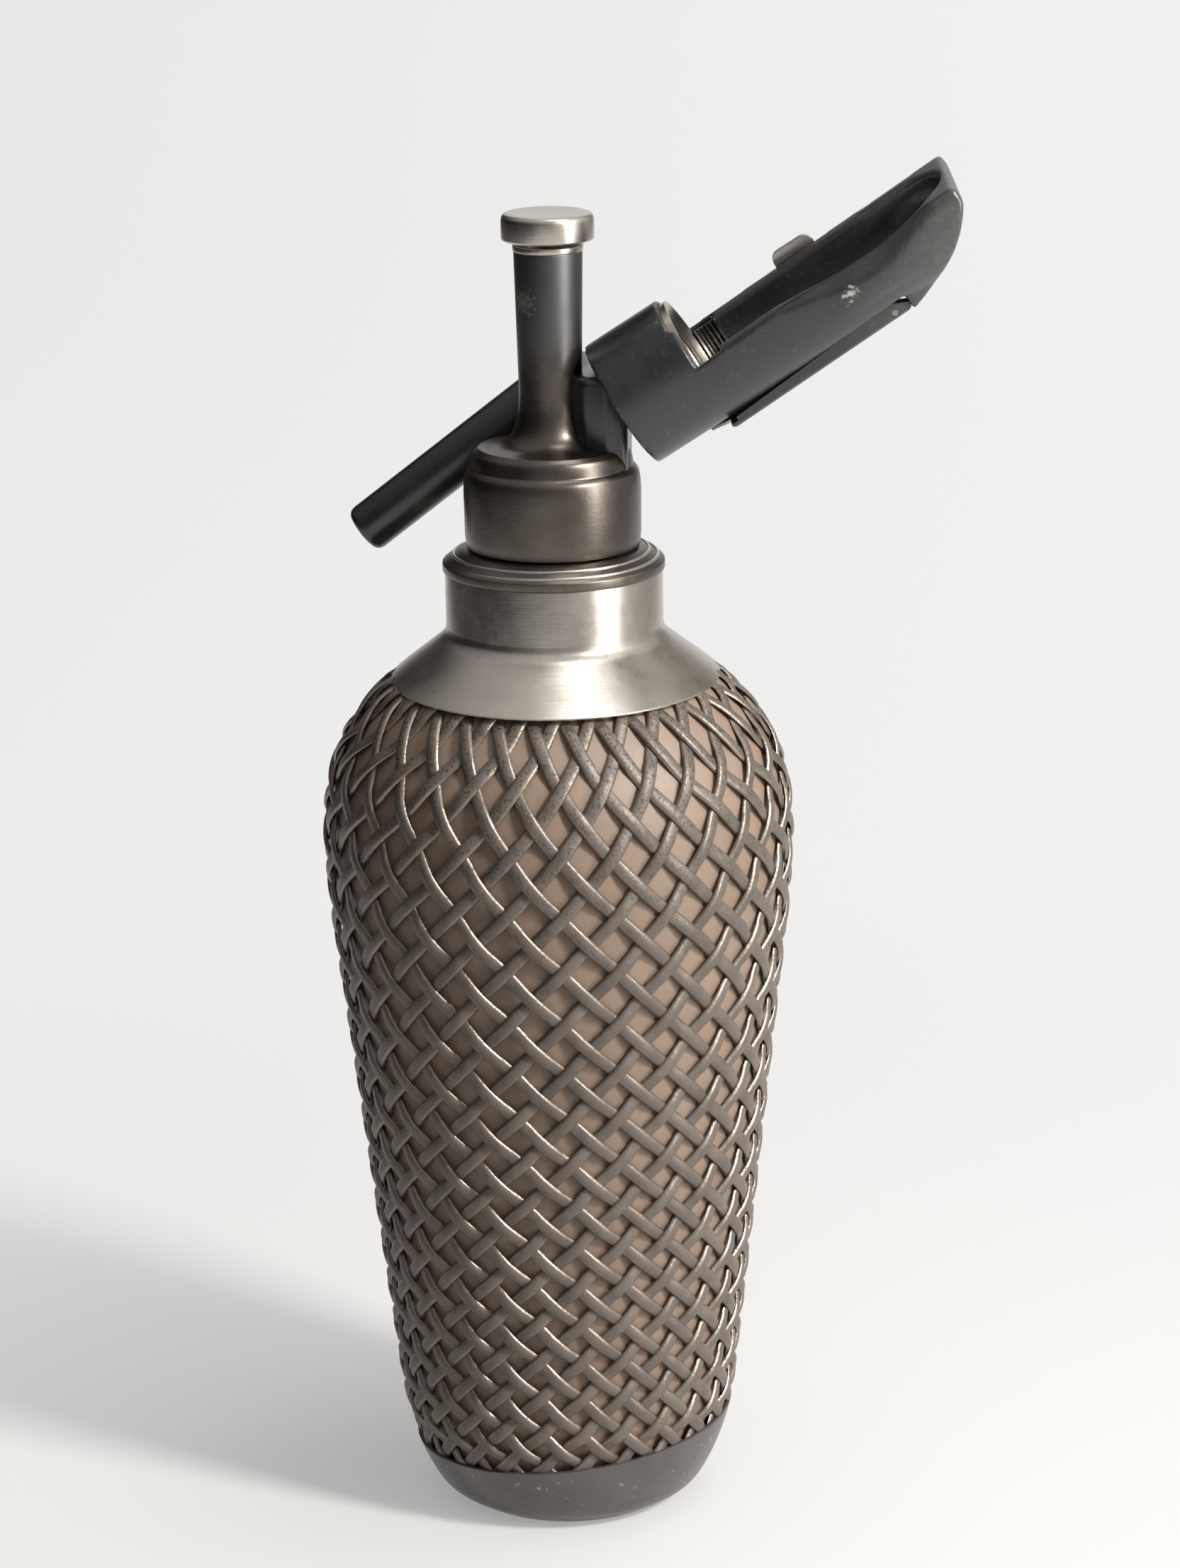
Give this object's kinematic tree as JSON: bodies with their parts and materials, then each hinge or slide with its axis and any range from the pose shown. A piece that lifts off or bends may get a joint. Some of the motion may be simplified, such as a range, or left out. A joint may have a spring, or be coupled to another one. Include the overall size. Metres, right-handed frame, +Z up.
{
  "type": "soda siphon",
  "caption": "Soda siphon: glass bottle in a woven metal casing, nickel head with a push button, straight tube spout and slanting screw-on capsule holder.",
  "frame": {"origin": "centre of the round foot, on the surface that the siphon stands on", "axes": "+Z up the bottle's axis, +X towards the capsule holder, -X towards the spout, +Y to the back, where the side body is screwed on"},
  "size_m": [0.1483, 0.1102, 0.32],
  "materials": {
    "lacquered_glass": "thick glass bottle with a matt tan-brown lacquer outside",
    "tinned_wire": "aged tinned flat strip, satin",
    "grey_cup": "satin grey pressed sheet",
    "nickel": "nickel plate, lightly worn",
    "dark_nickel": "nickel plate dulled to dark grey",
    "black_moulding": "black moulded phenolic, satin, worn at edges",
    "brass": "turned",
    "rubber": "matt",
    "tin_tube": "tinned brass tube",
    "spring_steel": "bright drawn steel"
  },
  "bodies": {
    "bottle": {"glass_bottle": "lacquered_glass", "wire_mesh": "tinned_wire", "base_cup": "grey_cup", "neck_collar": "nickel", "split_ring": "brass", "neck_ring": "dark_nickel", "neck_washer": "rubber"},
    "gasket": {"bottle_gasket": "rubber"},
    "head": {"head_body": "dark_nickel", "head_bush": "brass", "dip_tube": "tin_tube", "tube_seal": "rubber", "tube_nut": "brass", "valve_seat": "rubber", "return_spring": "spring_steel", "stem_gland": "nickel", "stem_seal": "rubber", "side_body": "black_moulding", "side_screws": "spring_steel", "spout": "black_moulding", "spout_seal": "rubber", "gas_nipple": "nickel", "check_ball": "spring_steel", "piercing_needle": "spring_steel", "inlet_washer": "rubber"},
    "button": {"push_button": "nickel", "valve_stem": "brass", "valve_disc": "rubber"},
    "insert": {"thread_insert": "nickel"},
    "holder": {"capsule_holder": "black_moulding", "lever_pin": "spring_steel", "lever_spring": "spring_steel"},
    "lever": {"eject_lever": "black_moulding", "lever_plate": "nickel"}
  },
  "joints": [
    {"name": "head_lift", "type": "slide", "parent": "bottle", "child": "gasket", "axis": [0, 0, 1], "range_m": [0, 0.24]},
    {"name": "head_turn", "type": "hinge", "parent": "gasket", "child": "head", "pos_m": [0, 0, 0.2284], "axis": [0, 0, 1], "range_deg": [0, 540]},
    {"name": "button_press", "type": "slide", "parent": "head", "child": "button", "axis": [0, 0, -1], "range_m": [0, 0.0035], "deforming": ["return_spring"]},
    {"name": "holder_travel", "type": "slide", "parent": "head", "child": "insert", "axis": [0.8415, 0, 0.5402], "range_m": [0, 0.012]},
    {"name": "holder_turn", "type": "hinge", "parent": "insert", "child": "holder", "pos_m": [0.0164, 0, 0.2655], "axis": [0.8415, 0, 0.5402], "range_deg": [0, 2880]},
    {"name": "eject_lever", "type": "hinge", "parent": "holder", "child": "lever", "pos_m": [0.07781, 0.00205, 0.28757], "axis": [-0.0752, 0.9903, 0.1171], "range_deg": [-14, 0]}
  ],
  "couplings": [
    {"joint": "holder_travel", "follows": "holder_turn", "m_per_rad": 0.00023873}
  ]
}
